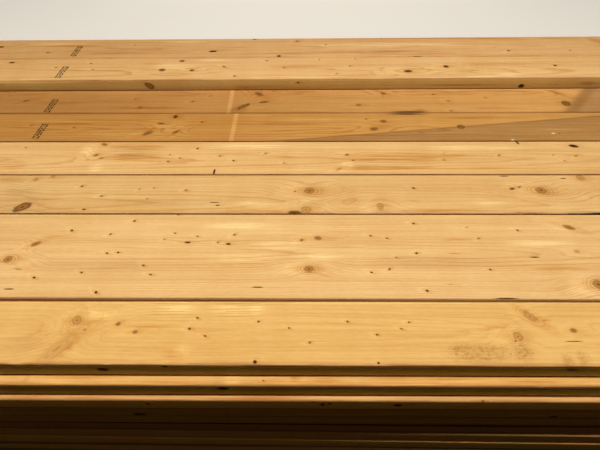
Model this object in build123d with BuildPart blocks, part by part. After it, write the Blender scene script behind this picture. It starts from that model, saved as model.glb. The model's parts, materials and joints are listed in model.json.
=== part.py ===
"""A stack of planed framing lumber: fifteen full tiers and two boards of a sixteenth.

Millimetres. +X runs along the boards, +Y from the front of the stack to its back, and +Z up.
The origin is on the floor, on the underside of the bottom tier, at the middle of the boards' length.
"""

import math
import os
from dataclasses import dataclass, replace

from build123d import *

os.makedirs("parts", exist_ok=True)

# The sawn stock. Both widths share one thickness, one length and one eased edge.
board_thickness = 38.0
narrow_width = 140.0
wide_width = 235.0
board_length = 2438.0
eased_edge = 3.0

# A long edge that lies hidden between its neighbours has one flat in place of the round.
# This share of the round's radius gives the flat the same reach from the sharp corner.
flat_share = 2 - math.sqrt(2)

# The lay of the stack.
side_gap = 1.0
boards_across = 8
tier_depth = wide_width + (boards_across - 1) * (narrow_width + side_gap)
stack_front = -tier_depth / 2

# Full tiers from the floor up: how far the front stands out past the top tier's front,
# how many degrees the tier is turned about the vertical, and which board, counted from 0
# at the front, is the wide one.
full_tiers = (
    (44.0, -0.20, 4),
    (47.0, -0.30, 1),
    (43.0, -0.15, 6),
    (46.0, -0.35, 2),
    (44.0, -0.30, 5),
    (41.0, -0.40, 0),
    (39.0, -0.40, 3),
    (37.0, -0.45, 6),
    (35.0, -0.40, 1),
    (32.0, -0.33, 4),
    (31.0, -0.10, 7),
    (31.0, 0.00, 2),
    (31.0, 0.00, 5),
    (20.0, 0.05, 3),
    (0.0, 0.00, 1),
)

# On the top full tier the front board lies apart from the others, which are turned together.
front_board_apart = 4.6
others_turn = -0.13

# The sixteenth tier has only its rear boards, set a little forward of the boards below.
top_tier_number = len(full_tiers) + 1
top_boards_forward = 13.7
top_boards_gap = 3.0

# Boards aren't trimmed flush: each is pushed along by one of these steps.
end_steps = (4.0, -7.0, 1.0, 9.0, -3.0, 6.0, -9.0, 0.0, -5.0, 8.0, 2.0)
steps_per_tier = 3

# Wane: where a board was sawn from the outside of its log, the log's own tapered round
# is left in place of the top front corner. The pith lies behind and below that corner.
pith_depth = 95.0
pith_drop = 93.0


@dataclass(frozen=True)
class Wane:
    """A corner lost to the round of the log, from `start` along the board to one of its ends."""

    start: float
    slope: float
    grows: int


top_full_tier_wane = Wane(start=1800.0, slope=0.022, grows=1)
waney_board_number = 3

# The sixteenth tier's boards from front to back: what each is called, how many degrees it is
# turned about the vertical, and its wane.
top_boards = (
    ("front_board", 0.10, Wane(start=690.0, slope=0.012, grows=-1)),
    ("rear_board", 0.14, None),
)


@dataclass(frozen=True)
class Board:
    """One board of a tier, with its place measured from the tier's front and left end."""

    width: float
    depth: float
    end_step: float
    long_edges_show: bool = True
    wane: Wane | None = None


def tier_plane(tier_number, front, turn):
    """The plane at a tier's left end: its x runs from front to back and its y runs up."""
    along = Vector(math.cos(math.radians(turn)), math.sin(math.radians(turn)), 0)
    across = Vector(-along.Y, along.X, 0)
    middle = Vector(0, front, (tier_number - 1) * board_thickness)
    return Plane(origin=middle - along * (board_length / 2), x_dir=across, z_dir=along)


def end_step(tier_number, place):
    """How far a board is pushed along, which differs from its neighbours' beside and above."""
    return end_steps[(tier_number * steps_per_tier + place) % len(end_steps)]


def full_tier_boards(tier_number, wide_place):
    """The boards of a full tier, from front to back, with a gap beside each.

    The long edges show on the front and rear boards, and on all of the top full tier.
    """
    boards = []
    depth = 0.0
    for place in range(boards_across):
        width = wide_width if place == wide_place else narrow_width
        outer = place in (0, boards_across - 1) or tier_number == len(full_tiers)
        boards.append(Board(width, depth, end_step(tier_number, place), outer))
        depth += width + side_gap
    return boards


def log_round(wane):
    """Keeps what lies inside the log, a cone along the board whose round takes the corner off."""
    corner_reach = math.hypot(pith_depth, pith_drop) - eased_edge * (math.sqrt(2) - 1)
    at_left = corner_reach + wane.grows * wane.slope * wane.start
    at_right = at_left - wane.grows * wane.slope * board_length
    Cone(
        at_left,
        at_right,
        board_length,
        align=(Align.CENTER, Align.CENTER, Align.MIN),
        mode=Mode.INTERSECT,
    )


def write_node(name, plane, boards):
    """Models boards that lie on one plane and writes them as one node.

    A board with wane comes first, because the log's round is cut before the others are laid.
    """
    with BuildPart() as node:
        for board in boards:
            end = plane.offset(board.end_step)
            with BuildSketch(end) as section:
                with Locations((board.depth + board.width / 2, board_thickness / 2)):
                    Rectangle(board.width, board_thickness)
                if board.long_edges_show:
                    fillet(section.vertices(), eased_edge)
                else:
                    chamfer(section.vertices(), eased_edge * flat_share)
            extrude(amount=board_length)
            if board.wane:
                pith = (board.depth + pith_depth, board_thickness - pith_drop)
                with Locations(Plane(end.from_local_coords((*pith, 0)), end.x_dir, end.z_dir)):
                    log_round(board.wane)
    node.part.label = name
    export_step(node.part, f"parts/{name}.step")


for tier_number, (stands_out, turn, wide_place) in enumerate(full_tiers, start=1):
    plane = tier_plane(tier_number, stack_front - stands_out, turn)
    boards = full_tier_boards(tier_number, wide_place)
    if tier_number < len(full_tiers):
        write_node(f"tier_{tier_number:02d}", plane, boards)
        continue
    others_front = stack_front - stands_out + front_board_apart - side_gap
    others_plane = tier_plane(tier_number, others_front, others_turn)
    for number, board in enumerate(boards, start=1):
        if number == waney_board_number:
            board = replace(board, wane=top_full_tier_wane)
        lay = plane if number == 1 else others_plane
        write_node(f"tier_{tier_number}_board_{number}", lay, [board])
    top_front = others_front + boards[-len(top_boards)].depth - top_boards_forward

for place, (name, turn, wane) in enumerate(top_boards):
    depth = place * (narrow_width + top_boards_gap)
    board = Board(narrow_width, depth, end_step(top_tier_number, place), wane=wane)
    plane = tier_plane(top_tier_number, top_front, turn)
    write_node(f"tier_{top_tier_number}_{name}", plane, [board])
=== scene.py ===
"""A stack of planed framing lumber, dressed as dry spruce with its grain, knots, stains and wane.

Metres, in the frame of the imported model: +X along the boards, +Y from front to back, +Z up.
"""

from __future__ import annotations

import json
import logging
import math
import random
from dataclasses import astuple, dataclass, field
from enum import Enum
from functools import partial

import bpy
import numpy as np
from mathutils import Euler, Matrix, Quaternion, Vector


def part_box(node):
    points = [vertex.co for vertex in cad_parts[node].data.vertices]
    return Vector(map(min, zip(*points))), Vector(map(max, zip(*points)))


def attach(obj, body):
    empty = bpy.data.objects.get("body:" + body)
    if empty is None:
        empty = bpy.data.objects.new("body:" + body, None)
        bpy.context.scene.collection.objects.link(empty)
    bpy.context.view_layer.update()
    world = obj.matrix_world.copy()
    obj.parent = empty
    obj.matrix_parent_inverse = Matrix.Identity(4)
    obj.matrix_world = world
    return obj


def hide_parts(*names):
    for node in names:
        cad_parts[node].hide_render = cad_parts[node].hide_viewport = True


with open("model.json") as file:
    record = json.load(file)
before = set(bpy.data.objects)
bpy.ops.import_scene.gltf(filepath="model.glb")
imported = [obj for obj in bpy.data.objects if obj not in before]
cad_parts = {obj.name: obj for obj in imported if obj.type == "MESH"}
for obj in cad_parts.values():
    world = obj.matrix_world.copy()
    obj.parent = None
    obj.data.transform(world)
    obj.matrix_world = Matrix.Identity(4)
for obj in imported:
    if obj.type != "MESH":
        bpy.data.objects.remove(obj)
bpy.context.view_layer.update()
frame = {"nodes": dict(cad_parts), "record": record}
LOG = logging.getLogger("lumber")
MM = 0.001
# Points nearer to each other than this are one, in metres.
SAME = 1e-5
# Where a face or corner has no mark, ink or stain, its place in one, in the mark's own radii.
FAR_AWAY = 30.0
# A face is on a board's sawn end, front or top if its normal runs this far that way, and it is
# on a flat, not on a rounded edge, if its normal runs this far along an axis.
END_FACING = 0.7
FRONT_FACING = 0.75
TOP_FACING = 0.9
FLAT_FACING = 0.99
# A mark holds the faces off its ends more than those off its sides, so this is under 1.
ALONG_COUNTS = 0.6


def linear(hex_colour: str) -> tuple[float, float, float, float]:
    """Turns an sRGB hex colour into linear light.

    Args:
        hex_colour: six hex digits, such as "EDC08A".

    Returns:
        Linear red, green and blue, and an alpha of 1.
    """
    channels = [int(hex_colour[i : i + 2], 16) / 255 for i in (0, 2, 4)]
    light = [c / 12.92 if c <= 0.04045 else ((c + 0.055) / 1.055) ** 2.4 for c in channels]
    return (light[0], light[1], light[2], 1.0)


def add_node(
    tree: bpy.types.NodeTree, kind: str, inputs: dict | None = None, **settings: object
) -> bpy.types.Node:
    """Adds a node, sets its properties and fills its sockets.

    A Mix of colours takes its share at 0 and its colours at 6 and 7. A MapRange takes the value
    at 0, the range it comes from at 1 and 2, and the range it is turned to at 3 and 4.

    Args:
        tree: the node tree to add to.
        kind: the shader node's type name.
        inputs: socket name or number to a value, to the socket that feeds it, or to a node whose
            first active output feeds it.
        settings: the node's own properties.

    Returns:
        The new node.
    """
    node = tree.nodes.new(f"ShaderNode{kind}")
    for name, value in settings.items():
        setattr(node, name, value)
    for socket, value in (inputs or {}).items():
        if isinstance(value, bpy.types.Node):
            value = next(output for output in value.outputs if output.enabled)
        if isinstance(value, bpy.types.NodeSocket):
            tree.links.new(value, node.inputs[socket])
        else:
            node.inputs[socket].default_value = value
    return node


def set_stops(ramp: bpy.types.Node, stops: tuple[tuple[float, str], ...]) -> bpy.types.Node:
    """Sets a colour ramp's stops.

    Args:
        ramp: the colour ramp node, which starts with two stops.
        stops: each stop's place from 0 to 1 and its sRGB hex colour, in order.

    Returns:
        The same node.
    """
    elements = ramp.color_ramp.elements
    while len(elements) < len(stops):
        elements.new(1.0)
    for element, (place, colour) in zip(elements, stops):
        element.position = place
        element.color = linear(colour)
    return ramp


@dataclass(frozen=True)
class PhotoCamera:
    """The camera that took the photograph, fitted to the edges of the boards that it shows."""

    over_top: float = 0.768
    before_front: float = 0.379
    right_of_middle: float = 0.030
    tilt_down: float = 46.69
    turn_left: float = 1.09
    roll: float = -0.81
    focal_pixels: float = 460.8
    columns: int = 600
    rows: int = 450
    sensor_mm: float = 36.0

    def place(self) -> Vector:
        """Where the lens is, measured from the front top edge of the top full tier."""
        low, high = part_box("tier_15_board_1")
        return Vector((self.right_of_middle, low.y - self.before_front, high.z + self.over_top))

    def turn(self) -> Quaternion:
        """How the camera is turned: down from level, a little to the left, and rolled."""
        aim = Euler((math.radians(90 - self.tilt_down), 0, math.radians(self.turn_left)))
        return aim.to_quaternion() @ Quaternion((0, 0, 1), math.radians(self.roll))

    def ray(self, column: float, row: float) -> Vector:
        """Finds the direction from the lens through a point of the photograph.

        Args:
            column: pixels from the photograph's left edge.
            row: pixels from its top edge.

        Returns:
            The direction, in the frame.
        """
        across = (column - self.columns / 2) / self.focal_pixels
        up = (self.rows / 2 - row) / self.focal_pixels
        return self.turn() @ Vector((across, up, -1.0))

    def on_plane(self, column: float, row: float, axis: int, at: float) -> Vector:
        """Finds the point of a plane that a point of the photograph shows.

        Args:
            column: pixels from the photograph's left edge.
            row: pixels from its top edge.
            axis: the axis that the plane is square to, 1 for an upright front, 2 for a level top.
            at: where the plane crosses that axis.

        Returns:
            The point, in the frame.
        """
        ray = self.ray(column, row)
        return self.place() + ray * ((at - self.place()[axis]) / ray[axis])

    def build(self) -> None:
        """Makes the camera and makes it the scene's own."""
        lens = bpy.data.cameras.new("photo_camera")
        lens.sensor_fit = "HORIZONTAL"
        lens.sensor_width = self.sensor_mm
        lens.lens = self.focal_pixels / self.columns * self.sensor_mm
        camera = bpy.data.objects.new("photo_camera", lens)
        camera.location = self.place()
        camera.rotation_mode = "QUATERNION"
        camera.rotation_quaternion = self.turn()
        bpy.context.scene.collection.objects.link(camera)
        bpy.context.scene.camera = camera


@dataclass(frozen=True)
class Placed:
    """Something on a board's top or front: where its middle shows, in pixels, and its size, in mm."""

    column: float
    row: float
    along: float
    across: float
    tilt: float = 0.0
    on_front: bool = False


@dataclass(frozen=True)
class MarkLook:
    """How a knot or other small mark looks, each from 0 to 1."""

    strength: float
    darkness: float
    rim: float
    halo: float


class Mark(Enum):
    """The small marks that planed spruce shows: knots first, then splits and chips."""

    SOUND_KNOT = MarkLook(0.92, 0.52, 0.30, 0.55)
    DARK_KNOT = MarkLook(1.00, 0.74, 0.35, 0.55)
    BLACK_KNOT = MarkLook(1.00, 0.90, 0.50, 0.35)
    FAINT_KNOT = MarkLook(0.62, 0.46, 0.12, 0.35)
    RINGED_KNOT = MarkLook(0.88, 0.46, 0.62, 0.90)
    SMOKY_KNOT = MarkLook(0.80, 0.68, 0.15, 0.45)
    CASED_KNOT = MarkLook(1.00, 0.54, 1.00, 0.14)
    SPIKE_KNOT = MarkLook(0.62, 0.27, 0.35, 0.40)
    EYED_KNOT = MarkLook(0.80, 0.31, 0.80, 0.45)
    PITCH = MarkLook(1.00, 0.62, 0.10, 0.30)
    SPLIT = MarkLook(1.00, 0.88, 0.00, 0.00)
    CHIP = MarkLook(0.95, 0.00, 0.00, 0.00)
    FLECK = MarkLook(0.55, 0.24, 0.00, 0.00)
    STREAK = MarkLook(0.30, 0.40, 0.00, 0.00)

    def at(self, *rows: tuple[float, ...], on_front: bool = False) -> tuple[Spot, ...]:
        """Spots of this kind: for each, its column, row, length, width and perhaps tilt."""
        return tuple(Spot(*row, mark=self, on_front=on_front) for row in rows)


@dataclass(frozen=True)
class Spot(Placed):
    """A small mark on a board."""

    mark: Mark = field(kw_only=True)


@dataclass(frozen=True)
class Pin:
    """A pin knot, placed where the photograph shows it: how dark it is, and its width."""

    column: float
    row: float
    darkness: float = 0.70
    width: float = 7.0

    @classmethod
    def at(cls, *rows: tuple[float, ...]) -> tuple[Pin, ...]:
        """Pin knots: for each, its column, row, and perhaps darkness and width."""
        return tuple(cls(*row) for row in rows)


@dataclass(frozen=True)
class Specks(Placed):
    """A scatter of small dark specks."""

    count: int = field(kw_only=True)


@dataclass(frozen=True)
class Ripples(Placed):
    """A bundle of fine dark lines."""

    count: int = field(kw_only=True)


@dataclass(frozen=True)
class PatchLook:
    """How a soft patch tints the wood under it, and how strongly."""

    tint: tuple[float, float, float]
    strength: float


class Patch(Enum):
    """The soft patches on the boards: painted sheen and bright figure, resin streaks, dirt and shade."""

    # Painted reflections of the lamps and painted highlights along eased edges, with paler bands of figure.
    SHEEN_AND_FIGURE = PatchLook((1.19, 1.34, 1.50), 1.00)
    RESIN = PatchLook((0.80, 0.61, 0.38), 1.00)
    DIRT = PatchLook((0.66, 0.56, 0.44), 1.00)
    SHADE = PatchLook((0.86, 0.83, 0.84), 0.80)
    STAIN = PatchLook((0.25, 0.22, 0.22), 0.95)

    def at(self, *rows: tuple[float, ...]) -> tuple[Wash, ...]:
        """Washes of this kind: for each, its column, row, length, width and perhaps tilt."""
        return tuple(Wash(*row, patch=self) for row in rows)


@dataclass(frozen=True)
class Wash(Placed):
    """A soft patch on a board."""

    patch: Patch = field(kw_only=True)


@dataclass(frozen=True)
class Line:
    """A straight line over a board's top, between two points of the photograph, sharp or soft."""

    from_column: float
    from_row: float
    to_column: float
    to_row: float
    softness: float = 1.0


@dataclass(frozen=True)
class Wane:
    """A corner lost to the round of the log: where it starts, its slope, and which way it grows."""

    start: float
    slope: float
    grows: int
    pith_depth: float = 95.0
    pith_drop: float = 93.0


@dataclass(frozen=True)
class BoardPlace:
    """Where the frame holds one board: its lower front corner at the left end, and its size."""

    corner: Vector
    along: Vector
    length: float
    width: float
    thickness: float

    def matrix(self) -> Matrix:
        """Works out how a point of the board, measured from its corner, comes into the frame.

        Returns:
            The matrix that takes it there.
        """
        across = Vector((-self.along.y, self.along.x, 0.0))
        turn = Matrix((self.along, across, Vector((0.0, 0.0, 1.0)))).transposed().to_4x4()
        return Matrix.Translation(self.corner) @ turn


def solids_of(node: str) -> list[np.ndarray]:
    """Parts a CAD node's loose triangles into its separate solids.

    Args:
        node: the node's name.

    Returns:
        The points of each solid.
    """
    mesh = frame["nodes"][node].data
    points = np.empty(len(mesh.vertices) * 3)
    mesh.vertices.foreach_get("co", points)
    points = points.reshape(-1, 3)
    firsts: dict[tuple[int, ...], int] = {}
    keys = np.rint(points / SAME).astype(int)
    same = [firsts.setdefault(tuple(key), i) for i, key in enumerate(keys)]
    leader = list(range(len(points)))

    def lead(i: int) -> int:
        """Finds the point that stands for the solid that a point belongs to.

        Args:
            i: the point's number.

        Returns:
            The number of the point that stands for its solid.
        """
        while leader[i] != i:
            leader[i] = leader[leader[i]]
            i = leader[i]
        return i

    for face in mesh.polygons:
        first = lead(same[face.vertices[0]])
        for corner in face.vertices[1:]:
            leader[lead(same[corner])] = first
    groups: dict[int, list[int]] = {}
    for i in range(len(points)):
        groups.setdefault(lead(same[i]), []).append(i)
    return [points[members] for members in groups.values()]


def places_in(node: str) -> list[BoardPlace]:
    """Reads where a CAD node holds its boards.

    Args:
        node: the node's name.

    Returns:
        The boards' places, from front to back.
    """
    places = []
    for points in solids_of(node):
        low, high = points.min(axis=0), points.max(axis=0)
        under = points[points[:, 2] < low[2] + SAME]
        left = under[under[:, 0] < (low[0] + high[0]) / 2].mean(axis=0)
        right = under[under[:, 0] > (low[0] + high[0]) / 2].mean(axis=0)
        along = Vector((right[0] - left[0], right[1] - left[1], 0.0)).normalized()
        run = points[:, :2] @ np.array((along.x, along.y))
        depth = points[:, :2] @ np.array((-along.y, along.x))
        corner = along * run.min() + Vector((-along.y, along.x, 0.0)) * depth.min()
        corner.z = low[2]
        size = (float(np.ptp(run)), float(np.ptp(depth)), float(high[2] - low[2]))
        places.append(BoardPlace(corner, along, *size))
    return sorted(places, key=lambda place: place.corner.y)


class Attribute(Enum):
    """The values that each board's mesh carries to its finish: name, kind and where it is held."""

    LOG_PLACE = ("log_place", "FLOAT_VECTOR", "POINT")
    BOARD_TONE = ("board_tone", "FLOAT_COLOR", "FACE")
    MARK_PLACE = ("mark_place", "FLOAT_VECTOR", "CORNER")
    MARK_LOOK = ("mark_look", "FLOAT_COLOR", "FACE")
    PATCH_TINT = ("patch_tint", "FLOAT_COLOR", "POINT")
    INK_PLACE = ("ink_place", "FLOAT_VECTOR", "CORNER")
    STAIN_PLACE = ("stain_place", "FLOAT_VECTOR", "CORNER")

    def write(self, mesh: bpy.types.Mesh, values: np.ndarray) -> None:
        """Writes one value for each point, corner or face of a mesh.

        Args:
            mesh: the mesh to write to.
            values: one row for each point, corner or face.
        """
        name, kind, domain = self.value
        layer = mesh.attributes.get(name) or mesh.attributes.new(name, kind, domain)
        key = "color" if kind == "FLOAT_COLOR" else "vector"
        layer.data.foreach_set(key, np.ascontiguousarray(values, dtype=np.float32).ravel())


@dataclass(frozen=True)
class WoodColours:
    """A spruce board's colours: the pale early wood, the darker late wood, and how far they part."""

    early: str
    late: str
    contrast: float


@dataclass
class SpruceFinish:
    """Planed, unfinished, kiln-dried spruce.

    The grain is solid: rings round the log's pith, so faces show lines and arches, and ends
    show arcs. Rings stand 4 mm apart, a little wider than most, so that they show in the render.
    Planing leaves a dull surface, with a slight sheen where the figure turns.
    """

    name: str
    colours: WoodColours
    ring_width: float = 4.0 * MM
    ring_wander: float = 16.0 * MM
    ring_taper: float = 0.010
    fibre_per_metre: float = 420.0
    streak_per_metre: float = 75.0
    # A knot's heart, from pale to black, and the fine rings that close round it.
    heart_stops: tuple[tuple[float, str], ...] = (
        (0.0, "F4DCA8"), (0.30, "CC944C"), (0.55, "A06A2C"), (0.78, "683F12"), (1.0, "2A1806"),
    )
    loop_colour: str = "8A5A26"
    tide_colour: str = "9A6A30"
    ink_colour: str = "1F1812"
    check_colour: str = "3B2413"
    stained: bool = False
    sawn_end: bool = False
    material: bpy.types.Material = field(init=False)

    def __post_init__(self) -> None:
        """Makes the material and its nodes."""
        self.material = bpy.data.materials.new(self.name)
        self.material.use_nodes = True
        self.tree = self.material.node_tree
        self.add = partial(add_node, self.tree)
        self.shader = self.tree.nodes["Principled BSDF"]
        self._read_attributes()
        self._measure_mark()
        self._grow_rings()
        self._run_fibres()
        self._colour_wood()
        self._lay_patches()
        if self.stained:
            self._stain()
        self._lay_marks()
        self._loop_grain()
        self._print_ink()
        if self.sawn_end:
            self._saw_end()
        self._set_surface()

    def _attribute(self, attribute: Attribute) -> bpy.types.Node:
        """The node that reads one of the mesh's attributes."""
        return self.add("Attribute", attribute_name=attribute.value[0])

    def _read_attributes(self) -> None:
        """Reads what the mesh carries."""
        self.log_place = self._attribute(Attribute.LOG_PLACE).outputs["Vector"]
        tone = self._attribute(Attribute.BOARD_TONE)
        self.tone, self.figure = tone.outputs["Color"], tone.outputs["Alpha"]
        look = self._attribute(Attribute.MARK_LOOK)
        parts = self.add("SeparateColor", {"Color": look.outputs["Color"]})
        self.mark_strength, self.mark_darkness, self.mark_rim = parts.outputs
        self.mark_halo = look.outputs["Alpha"]
        self.mark_place = self._attribute(Attribute.MARK_PLACE).outputs["Vector"]
        patch = self._attribute(Attribute.PATCH_TINT)
        self.patch_tint, self.dirt = patch.outputs["Color"], patch.outputs["Alpha"]
        self.ink_place = self._attribute(Attribute.INK_PLACE).outputs["Vector"]
        self.stain_place = self._attribute(Attribute.STAIN_PLACE).outputs["Vector"]

    def _noise(self, per_metre: tuple[float, float, float], detail: float) -> bpy.types.Node:
        """Noise in the log, at so many features a metre along it, across it and up it."""
        place = self.add("VectorMath", {0: self.log_place, 1: per_metre}, operation="MULTIPLY")
        return self.add("TexNoise", {"Vector": place, "Scale": 1.0, "Detail": detail})

    def _measure_mark(self) -> None:
        """Finds how far a point is from the middle of its mark, in the mark's own radii."""
        add = self.add
        self.mark_parts = add("SeparateXYZ", {0: self.mark_place})
        flat = add("VectorMath", {0: self.mark_place, 1: (1, 1, 0)}, operation="MULTIPLY")
        away = add("VectorMath", {0: flat}, operation="LENGTH")
        ragged = add(
            "Math", {0: self._noise((120, 120, 120), 1.0), 1: 0.5, 2: 0.75}, operation="MULTIPLY_ADD"
        )
        self.mark_away = add("Math", {0: away, 1: ragged}, operation="MULTIPLY")
        drawn = add("VectorMath", {0: self.mark_place, 1: (0.42, 1, 0)}, operation="MULTIPLY")
        self.mark_reach = add("VectorMath", {0: drawn}, operation="LENGTH")

    def _grow_rings(self) -> None:
        """Counts growth rings out from the pith, each dark towards its outer edge."""
        add = self.add
        parts = add("SeparateXYZ", {0: self.log_place})
        section = add("CombineXYZ", {1: parts.outputs[1], 2: parts.outputs[2]})
        radius = add("VectorMath", {0: section}, operation="LENGTH")
        wander = add(
            "Math", {0: self._noise((1.1, 7, 7), 2.0), 1: self.ring_wander, 2: radius},
            operation="MULTIPLY_ADD",
        )
        quiver = add(
            "Math", {0: self._noise((7, 90, 90), 1.0), 1: self.ring_width * 0.7, 2: wander},
            operation="MULTIPLY_ADD",
        )
        taper = add("Math", {0: parts.outputs[0], 1: self.ring_taper, 2: quiver}, operation="MULTIPLY_ADD")
        uneven = add("TexNoise", {"W": taper, "Scale": 45.0, "Detail": 1.0}, noise_dimensions="1D")
        count = add("Math", {0: taper, 1: 1 / self.ring_width}, operation="MULTIPLY")
        spaced = add("Math", {0: uneven, 1: 2.4, 2: count}, operation="MULTIPLY_ADD")
        ring = add("Math", {0: spaced}, operation="FRACT")
        rise = add("MapRange", {0: ring, 1: 0.62, 2: 0.94}, interpolation_type="SMOOTHSTEP")
        fall = add("MapRange", {0: ring, 1: 1.0, 2: 0.95}, interpolation_type="SMOOTHSTEP")
        late = add("Math", {0: rise, 1: fall}, operation="MULTIPLY")
        shows = add("MapRange", {0: self._noise((0.6, 11, 11), 1.0), 1: 0.36, 2: 0.62, 3: 0.42, 4: 1.0})
        patchy = add("Math", {0: late, 1: shows}, operation="MULTIPLY")
        self.late_wood = add("Math", {0: patchy, 1: self.figure}, operation="MULTIPLY")

    def _run_fibres(self) -> None:
        """Runs fine fibres and broader streaks along the log, and soft bands across it."""
        add = self.add
        fibre, streak = self.fibre_per_metre, self.streak_per_metre
        self.fibre = self._noise((5, fibre, fibre), 2.0)
        self.streak = self._noise((0.9, streak, streak), 2.0)
        light: bpy.types.Node | float = 0.33
        for noise, share in (
            (self.fibre, 0.34),
            (self.streak, 0.38),
            (self._noise((2.2, 13, 13), 2.0), 0.28),
            (self._noise((16, 4, 4), 1.0), 0.16),
            (self._noise((70, 260, 260), 1.0), 0.18),
        ):
            light = add("Math", {0: noise, 1: share, 2: light}, operation="MULTIPLY_ADD")
        self.light = light

    def _colour_wood(self) -> None:
        """Colours the early and late wood, the fibres and the board's own tone."""
        add = self.add
        share = add("Math", {0: self.late_wood, 1: self.colours.contrast}, operation="MULTIPLY")
        wood = add(
            "Mix", {0: share, 6: linear(self.colours.early), 7: linear(self.colours.late)}, data_type="RGBA"
        )
        warmed = add(
            "VectorMath", {0: self.light, 1: (0.58, 1.05, 1.75), 2: (0.42, -0.05, -0.75)},
            operation="MULTIPLY_ADD",
        )
        lit = add("VectorMath", {0: wood, 1: warmed}, operation="MULTIPLY")
        self.colour = add("VectorMath", {0: lit, 1: self.tone}, operation="MULTIPLY")

    def _lay_patches(self) -> None:
        """Lays the soft patches over the wood, broken up along its grain, and the mottled dirt."""
        add = self.add
        share = add("MapRange", {0: self._noise((7, 170, 170), 3.0), 1: 0.38, 2: 0.54, 3: 0.15, 4: 1.0})
        tinted = add("VectorMath", {0: self.colour, 1: self.patch_tint}, operation="MULTIPLY")
        tinged = add("Mix", {0: share, 6: self.colour, 7: tinted}, data_type="RGBA")
        mottled = add("MapRange", {0: self._noise((130, 190, 190), 3.0), 1: 0.34, 2: 0.66, 3: 0.30, 4: 1.0})
        dirt = add("Math", {0: mottled, 1: self.dirt}, operation="MULTIPLY")
        dulled = add("VectorMath", {0: tinged, 1: Patch.DIRT.value.tint}, operation="MULTIPLY")
        self.colour = add("Mix", {0: dirt, 6: tinged, 7: dulled}, data_type="RGBA")

    def _stain(self) -> None:
        """Darkens the wood where water stood, up to a brown tide mark, and pales a lath's stripe."""
        add = self.add
        parts = add("SeparateXYZ", {0: self.stain_place})
        wet = add("MapRange", {0: parts.outputs[1], 1: -3 * MM, 2: 5 * MM}, interpolation_type="SMOOTHSTEP")
        uneven = add("MapRange", {0: self._noise((4, 30, 30), 3.0), 1: 0.3, 2: 0.6, 3: 0.75, 4: 1.0})
        soaked = add("Math", {0: wet, 1: uneven}, operation="MULTIPLY")
        dulled = add("VectorMath", {0: self.colour, 1: (0.66, 0.66, 0.78)}, operation="MULTIPLY")
        soaked_wood = add("Mix", {0: soaked, 6: self.colour, 7: dulled}, data_type="RGBA")
        from_line = add("Math", {0: parts.outputs[1], 1: 4 * MM}, operation="SUBTRACT")
        off_line = add("Math", {0: from_line}, operation="ABSOLUTE")
        tide = add(
            "MapRange", {0: off_line, 1: 5 * MM, 2: 1 * MM, 3: 0.0, 4: 0.45},
            interpolation_type="SMOOTHSTEP",
        )
        stained = add("Mix", {0: tide, 6: soaked_wood, 7: linear(self.tide_colour)}, data_type="RGBA")
        off_stripe = add("Math", {0: parts.outputs[0]}, operation="ABSOLUTE")
        on_stripe = add(
            "MapRange", {0: off_stripe, 1: 8 * MM, 2: 4.5 * MM, 3: 0.0, 4: 0.9},
            interpolation_type="SMOOTHSTEP",
        )
        paled = add("VectorMath", {0: stained, 1: (1.28, 1.42, 1.75)}, operation="MULTIPLY")
        self.colour = add("Mix", {0: on_stripe, 6: stained, 7: paled}, data_type="RGBA")

    def _lay_marks(self) -> None:
        """Lays a mark over the wood: a painted sheen on one side, a warm halo, its heart and its rim."""
        add = self.add
        # A painted sheen on one side of the mark, then a warm halo all round it.
        sheen_side = add("MapRange", {0: self.mark_parts.outputs[0], 1: 0.8, 2: -1.6})
        for start, end, most, side, tint in (
            (3.4, 1.2, 0.9, sheen_side, (1.15, 1.22, 1.33)),
            (2.2, 0.7, 0.8, 1.0, (0.86, 0.70, 0.50)),
        ):
            reach = add(
                "MapRange", {0: self.mark_reach, 1: start, 2: end, 3: 0.0, 4: most},
                interpolation_type="SMOOTHSTEP",
            )
            sided = add("Math", {0: reach, 1: side}, operation="MULTIPLY")
            share = add("Math", {0: sided, 1: self.mark_halo}, operation="MULTIPLY")
            tinted = add("VectorMath", {0: self.colour, 1: tint}, operation="MULTIPLY")
            self.colour = add("Mix", {0: share, 6: self.colour, 7: tinted}, data_type="RGBA")
        self.mark_rings = add("Math", {0: self.mark_rim, 1: self.mark_halo}, operation="MULTIPLY")
        turns = add("Math", {0: self.mark_away, 1: 15.0}, operation="MULTIPLY")
        wave = add("Math", {0: turns}, operation="SINE")
        middle = add("MapRange", {0: self.mark_away, 1: 0.34, 2: 0.1, 3: 0.0, 4: 0.60})
        core = add("MapRange", {0: self.mark_away, 1: 0.0, 2: 1.0, 3: 0.12, 4: -0.14})
        edge = add("MapRange", {0: self.mark_away, 1: 0.5, 2: 0.85, 3: 0.0, 4: 0.48})
        outline = add("Math", {0: edge, 1: self.mark_rim, 2: core}, operation="MULTIPLY_ADD")
        ringed = add("Math", {0: wave, 1: 0.06, 2: self.mark_darkness}, operation="MULTIPLY_ADD")
        dotted = add("Math", {0: middle, 1: self.mark_rings, 2: ringed}, operation="MULTIPLY_ADD")
        darkened = add("Math", {0: dotted, 1: outline}, operation="ADD")
        heart_colour = set_stops(add("ValToRGB", {0: darkened}), self.heart_stops)
        heart = add("MapRange", {0: self.mark_away, 1: 1.25, 2: 0.62}, interpolation_type="SMOOTHSTEP")
        self.mark_cover = add("Math", {0: heart, 1: self.mark_strength}, operation="MULTIPLY")
        sockets = {0: self.mark_cover, 6: self.colour, 7: heart_colour.outputs[0]}
        self.colour = add("Mix", sockets, data_type="RGBA")

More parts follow.
